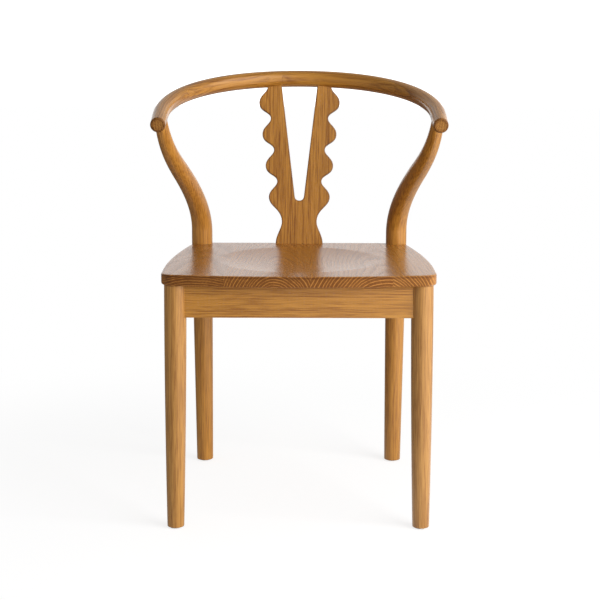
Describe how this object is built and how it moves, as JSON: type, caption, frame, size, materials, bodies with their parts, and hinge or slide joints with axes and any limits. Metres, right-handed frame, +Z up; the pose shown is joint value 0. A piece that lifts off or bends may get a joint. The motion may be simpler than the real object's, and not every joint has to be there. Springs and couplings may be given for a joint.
{
  "type": "dining armchair",
  "caption": "Solid-wood dining armchair with a bent U-shaped arm rail, a pierced scalloped back splat, a dished plank seat on an apron frame and round tapered legs.",
  "frame": {"origin": "centre of the chair's bounding box in plan, on the floor under the glides", "axes": "+Z up, the chair faces -Y, +X to the right of someone looking at its front from -Y"},
  "size_m": [0.5344, 0.548, 0.7977],
  "materials": {
    "arm_rail": "satin lacquered oak",
    "back_splat": "satin lacquered oak",
    "legs": "satin lacquered oak",
    "seat": "satin lacquered oak",
    "aprons": "satin lacquered oak",
    "corner_blocks": "planed, unlacquered wood",
    "glides": "moulded nylon"
  },
  "bodies": {
    "root": {"arm_rail": "arm_rail", "back_splat": "back_splat", "rear_leg_left": "legs", "rear_leg_right": "legs", "front_leg_left": "legs", "front_leg_right": "legs", "seat_board_1": "seat", "seat_board_2": "seat", "seat_board_3": "seat", "seat_board_4": "seat", "front_apron": "aprons", "rear_apron": "aprons", "side_apron_left": "aprons", "side_apron_right": "aprons", "corner_block_front_left": "corner_blocks", "corner_block_front_right": "corner_blocks", "corner_block_rear_left": "corner_blocks", "corner_block_rear_right": "corner_blocks", "glide_front_left": "glides", "glide_front_right": "glides", "glide_rear_left": "glides", "glide_rear_right": "glides"}
  },
  "joints": []
}
